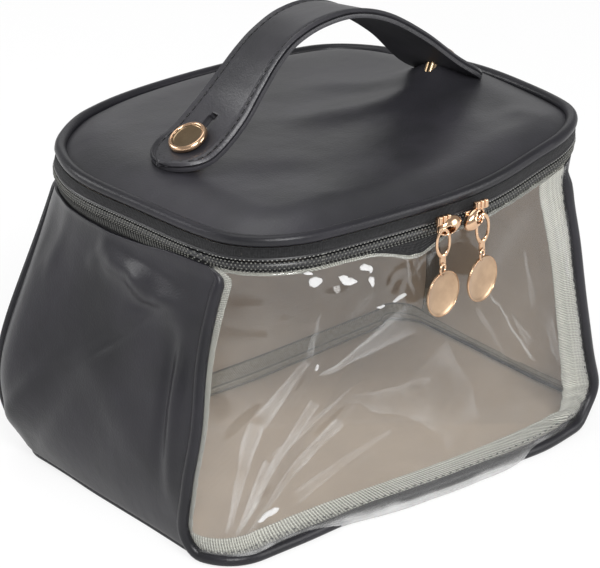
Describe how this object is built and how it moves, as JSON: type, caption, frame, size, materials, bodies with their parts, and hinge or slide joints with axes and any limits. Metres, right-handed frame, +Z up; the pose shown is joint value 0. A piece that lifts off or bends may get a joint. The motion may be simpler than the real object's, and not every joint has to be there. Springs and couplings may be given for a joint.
{
  "type": "makeup bag",
  "caption": "Soft zipped makeup bag with a clear bowed front window, leather sides, domed hinged lid, strap handle on studs and twin zip pulls.",
  "frame": {"origin": "middle of the underside, which stands on a surface", "axes": "+X along the length towards the right end seen from the front, +Y to the hinge at the back, +Z up"},
  "size_m": [0.2116, 0.1738, 0.1811],
  "materials": {
    "black_leather": "smooth, soft sheen",
    "taupe_lining": "matte woven",
    "clear_vinyl": "clear, glossy",
    "sage_ribbon": "ribbed weave",
    "grey_board": "matte",
    "grey_foam": "matte",
    "zip_tape": "woven",
    "zip_coil": "satin",
    "rose_gold": "polished"
  },
  "bodies": {
    "bag_body": {"bottom_panel": "black_leather", "bottom_board": "grey_board", "bottom_lining": "taupe_lining", "left_side_panel": "black_leather", "right_side_panel": "black_leather", "back_panel": "black_leather", "front_window": "clear_vinyl", "window_binding": "sage_ribbon", "left_side_lining": "taupe_lining", "right_side_lining": "taupe_lining", "back_lining": "taupe_lining", "front_left_piping": "black_leather", "front_right_piping": "black_leather", "back_left_piping": "black_leather", "back_right_piping": "black_leather", "floor_seam_tape": "taupe_lining", "back_left_seam_tape": "taupe_lining", "back_right_seam_tape": "taupe_lining", "lower_zip_tape": "zip_tape", "lower_zip_coil": "zip_coil", "back_hinge_lower": "black_leather"},
    "lid": {"lid_panel": "black_leather", "lid_foam": "grey_foam", "lid_lining": "taupe_lining", "lid_welt": "black_leather", "upper_zip_tape": "zip_tape", "upper_zip_coil": "zip_coil", "back_hinge_upper": "black_leather", "left_handle_stud": "rose_gold", "right_handle_stud": "rose_gold", "left_stud_washer": "rose_gold", "right_stud_washer": "rose_gold"},
    "handle": {"handle_upper_strap": "black_leather", "handle_under_strap": "black_leather"},
    "left_slider": {"left_slider": "rose_gold"},
    "left_link": {"left_pull_link": "rose_gold"},
    "left_ring": {"left_jump_ring": "rose_gold"},
    "left_disc": {"left_pull_disc": "rose_gold"},
    "right_slider": {"right_slider": "rose_gold"},
    "right_link": {"right_pull_link": "rose_gold"},
    "right_ring": {"right_jump_ring": "rose_gold"},
    "right_disc": {"right_pull_disc": "rose_gold"}
  },
  "joints": [
    {"name": "lid_hinge", "type": "hinge", "parent": "bag_body", "child": "lid", "pos_m": [0, 0.083, 0.123], "axis": [-1, 0, 0], "range_deg": [0, 110]},
    {"name": "handle_press", "type": "slide", "parent": "lid", "child": "handle", "axis": [0, 0, -1], "range_m": [0, 0.03], "deforming": ["handle_upper_strap", "handle_under_strap"]},
    {"name": "left_zip_run", "type": "hinge", "parent": "bag_body", "child": "left_slider", "pos_m": [0, 0.247, 0.123], "axis": [0, 0, 1], "range_deg": [-7.86, 0]},
    {"name": "left_link_swing", "type": "hinge", "parent": "left_slider", "child": "left_link", "pos_m": [-0.00628, -0.08719, 0.1242], "axis": [-0.9998, 0.0188, 0], "range_deg": [0, 140]},
    {"name": "left_ring_swing", "type": "hinge", "parent": "left_link", "child": "left_ring", "pos_m": [-0.00628, -0.08719, 0.1086], "axis": [-0.9998, 0.0188, 0], "range_deg": [-8, 60]},
    {"name": "left_disc_swing", "type": "hinge", "parent": "left_ring", "child": "left_disc", "pos_m": [-0.00628, -0.08719, 0.1046], "axis": [-0.9998, 0.0188, 0], "range_deg": [-8, 25]},
    {"name": "right_zip_run", "type": "hinge", "parent": "bag_body", "child": "right_slider", "pos_m": [0, 0.247, 0.123], "axis": [0, 0, 1], "range_deg": [0, 6.75]},
    {"name": "right_link_swing", "type": "hinge", "parent": "right_slider", "child": "right_link", "pos_m": [0.01276, -0.08701, 0.1242], "axis": [-0.9993, -0.0382, 0], "range_deg": [0, 140]},
    {"name": "right_ring_swing", "type": "hinge", "parent": "right_link", "child": "right_ring", "pos_m": [0.01276, -0.08701, 0.1086], "axis": [-0.9993, -0.0382, 0], "range_deg": [-8, 60]},
    {"name": "right_disc_swing", "type": "hinge", "parent": "right_ring", "child": "right_disc", "pos_m": [0.01276, -0.08701, 0.1046], "axis": [-0.9993, -0.0382, 0], "range_deg": [-8, 25]}
  ]
}
